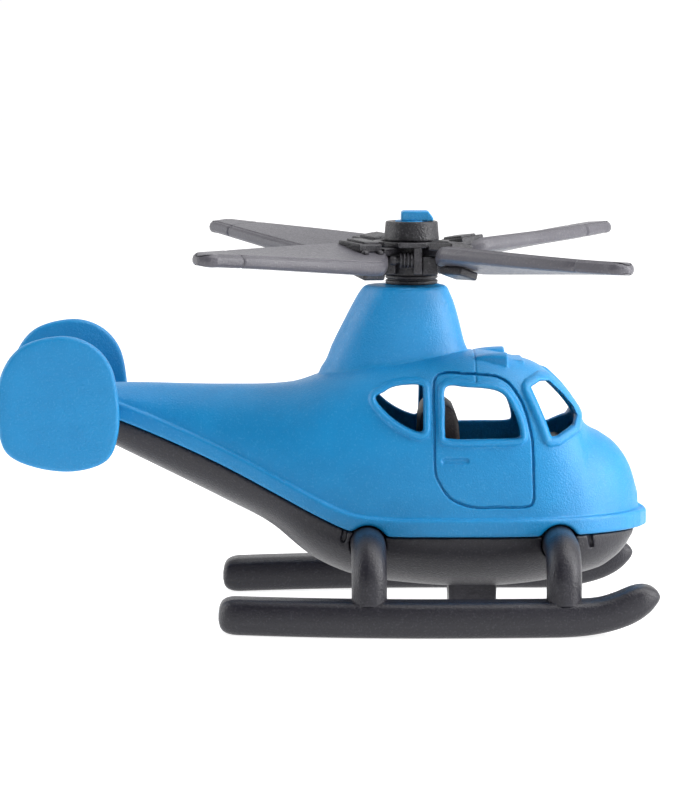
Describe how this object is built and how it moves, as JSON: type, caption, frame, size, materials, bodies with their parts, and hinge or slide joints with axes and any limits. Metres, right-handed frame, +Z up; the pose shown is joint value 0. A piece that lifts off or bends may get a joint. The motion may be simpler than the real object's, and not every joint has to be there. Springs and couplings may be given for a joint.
{
  "type": "toy helicopter",
  "caption": "Toy helicopter with a hollow windowed cabin, tapered boom, paired round tail fins, skids on inverted-U struts and a free-spinning bladed rotor.",
  "frame": {"origin": "centre of the bounding box's base, on the ground under the skids", "axes": "+X towards the nose, +Y towards the helicopter's left side, +Z up; the rotor turns about +Z"},
  "size_m": [0.2522, 0.1684, 0.1581],
  "materials": {
    "blue_plastic": "moulded with a fine speckle",
    "dark_plastic": "moulded with a fine speckle",
    "grey_plastic": "moulded, satin"
  },
  "bodies": {
    "airframe": {"body_shell": "blue_plastic", "belly_hull": "dark_plastic", "belly_foot": "dark_plastic", "cabin_floor": "dark_plastic", "pilot_seat": "dark_plastic", "instrument_panel": "dark_plastic", "front_cross_tube": "dark_plastic", "rear_cross_tube": "dark_plastic", "right_skid": "dark_plastic", "left_skid": "dark_plastic", "tailplane": "blue_plastic", "right_tail_fin": "blue_plastic", "left_tail_fin": "blue_plastic", "rotor_post": "blue_plastic"},
    "rotor": {"rotor_collar": "grey_plastic", "rotor_hub": "grey_plastic", "rotor_cap": "grey_plastic", "rotor_flange": "grey_plastic", "damper_spools": "grey_plastic", "blade_1": "grey_plastic", "blade_2": "grey_plastic", "blade_3": "grey_plastic", "blade_4": "grey_plastic", "blade_grip_1": "grey_plastic", "blade_grip_2": "grey_plastic", "blade_grip_3": "grey_plastic", "blade_grip_4": "grey_plastic"}
  },
  "joints": [
    {"name": "rotor_spin", "type": "hinge", "parent": "airframe", "child": "rotor", "pos_m": [0.0334, 0, 0.14], "axis": [0, 0, 1], "continuous": true}
  ]
}
